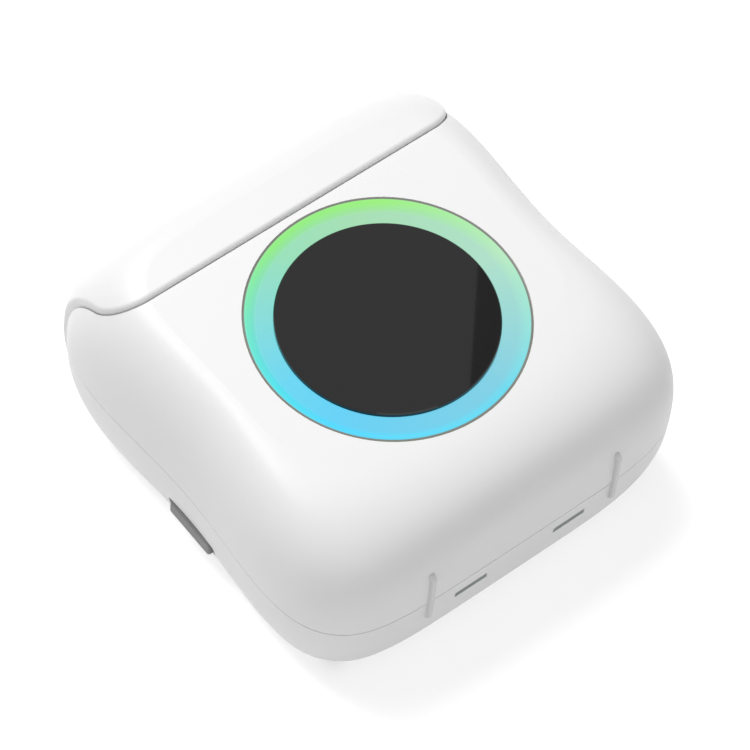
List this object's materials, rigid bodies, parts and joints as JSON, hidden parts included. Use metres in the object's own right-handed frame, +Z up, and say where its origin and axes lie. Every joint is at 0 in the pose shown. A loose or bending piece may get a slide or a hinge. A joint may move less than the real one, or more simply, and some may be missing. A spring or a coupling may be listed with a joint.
{
  "type": "mini sticker printer",
  "caption": "Pocket sticker printer: soft square white block with a hinged paper cover, a lit ring round a black window, a side key and a charging socket.",
  "frame": {"origin": "middle of the underside, at the centre of the bounding box", "axes": "+Z up through the light ring, +Y towards the hinged cover, +X towards the charging socket"},
  "size_m": [0.084, 0.087, 0.0404],
  "materials": {
    "white_shell": "satin white",
    "white_foot": "satin white",
    "ring_diffuser": "translucent, lit green to blue",
    "window_black": "polished black",
    "key_grey": "fine matt grey",
    "frame_black": "moulded black",
    "paper_white": "smooth label paper",
    "core_card": "grey-brown card",
    "platen_rubber": "ground rubber",
    "steel": "ground steel",
    "screw_steel": "zinc plated",
    "motor_zinc": "plated can",
    "gear_white": "natural acetal",
    "brass_pinion": "machined brass",
    "bush_grey": "self-lubricating plastic",
    "head_aluminium": "milled",
    "head_ceramic": "glazed ceramic",
    "flex_film": "amber film",
    "board_green": "solder-masked laminate",
    "board_white": "white solder mask",
    "lamp_clear": "clear resin",
    "chip_black": "moulded resin",
    "radio_can": "tinned can",
    "capacitor_can": "drawn can",
    "connector_white": "nylon",
    "pouch_silver": "laminated foil",
    "pad_foam": "foam tape",
    "wire_red": "soft insulation",
    "wire_white": "soft insulation"
  },
  "bodies": {
    "casing": {"upper_shell": "white_shell", "base_shell": "white_shell", "standing_foot_left": "white_foot", "standing_foot_right": "white_foot", "light_ring": "ring_diffuser", "window_disc": "window_black", "chassis": "frame_black", "hinge_pins": "steel", "idler_axle": "steel", "reduction_axle": "steel", "axle_clips": "steel", "head_springs": "steel", "charging_socket": "steel", "case_screws": "screw_steel", "chassis_screws": "screw_steel", "main_board_screws": "screw_steel", "light_board_screws": "screw_steel", "motor_screws": "screw_steel", "motor_body": "motor_zinc", "head_flex": "flex_film", "main_board": "board_green", "light_board": "board_white", "light_lamps": "lamp_clear", "controller_chip": "chip_black", "paper_sensor": "chip_black", "key_switch": "chip_black", "wireless_module": "radio_can", "board_capacitors": "capacitor_can", "board_connectors": "connector_white", "battery_pouch": "pouch_silver", "battery_pad": "pad_foam", "battery_lead": "wire_red", "motor_lead": "wire_white", "light_lead": "wire_white"},
    "cover": {"paper_cover": "white_shell", "tear_strip": "steel", "platen_carrier": "frame_black", "carrier_screws": "screw_steel", "platen_bushes": "bush_grey"},
    "platen": {"platen_shaft": "steel", "platen_sleeve": "platen_rubber", "platen_gear": "gear_white"},
    "roll": {"paper_roll": "paper_white", "paper_core": "core_card"},
    "idler": {"idler_gear": "gear_white"},
    "reducer": {"reduction_gear": "gear_white"},
    "rotor": {"motor_shaft": "steel", "motor_pinion": "brass_pinion"},
    "key": {"power_key": "key_grey", "switch_plunger": "connector_white"},
    "head": {"head_plate": "head_aluminium", "head_ceramic": "head_ceramic", "head_pivot_pin": "steel"}
  },
  "joints": [
    {"name": "cover_hinge", "type": "hinge", "parent": "casing", "child": "cover", "pos_m": [0, 0.0388, 0.0075], "axis": [-1, 0, 0], "range_deg": [0, 80]},
    {"name": "platen_spin", "type": "hinge", "parent": "cover", "child": "platen", "pos_m": [0, 0.02665, 0.0318], "axis": [1, 0, 0], "continuous": true},
    {"name": "roll_spin", "type": "hinge", "parent": "casing", "child": "roll", "pos_m": [0, 0.0188, 0.0164], "axis": [1, 0, 0], "continuous": true},
    {"name": "idler_spin", "type": "hinge", "parent": "casing", "child": "idler", "pos_m": [0, 0.0186, 0.02778], "axis": [1, 0, 0], "continuous": true},
    {"name": "reducer_spin", "type": "hinge", "parent": "casing", "child": "reducer", "pos_m": [0, 0.00861, 0.02725], "axis": [1, 0, 0], "continuous": true},
    {"name": "motor_spin", "type": "hinge", "parent": "casing", "child": "rotor", "pos_m": [0, -0.0018, 0.02588], "axis": [1, 0, 0], "continuous": true},
    {"name": "power_key_press", "type": "slide", "parent": "casing", "child": "key", "axis": [1, 0, 0], "range_m": [0, 0.0004], "stiffness_N_per_m": 800, "springref_m": -0.0005},
    {"name": "head_pivot", "type": "hinge", "parent": "casing", "child": "head", "pos_m": [0, 0.02095, 0.036], "axis": [-1, 0, 0], "range_deg": [0, 2.5], "stiffness_Nm_per_rad": 0.02, "springref_deg": -5.73}
  ],
  "couplings": [
    {"joint": "platen_spin", "follows": "roll_spin", "ratio": -3},
    {"joint": "idler_spin", "follows": "roll_spin", "ratio": 2.4},
    {"joint": "reducer_spin", "follows": "roll_spin", "ratio": -2.4},
    {"joint": "motor_spin", "follows": "roll_spin", "ratio": 6}
  ]
}
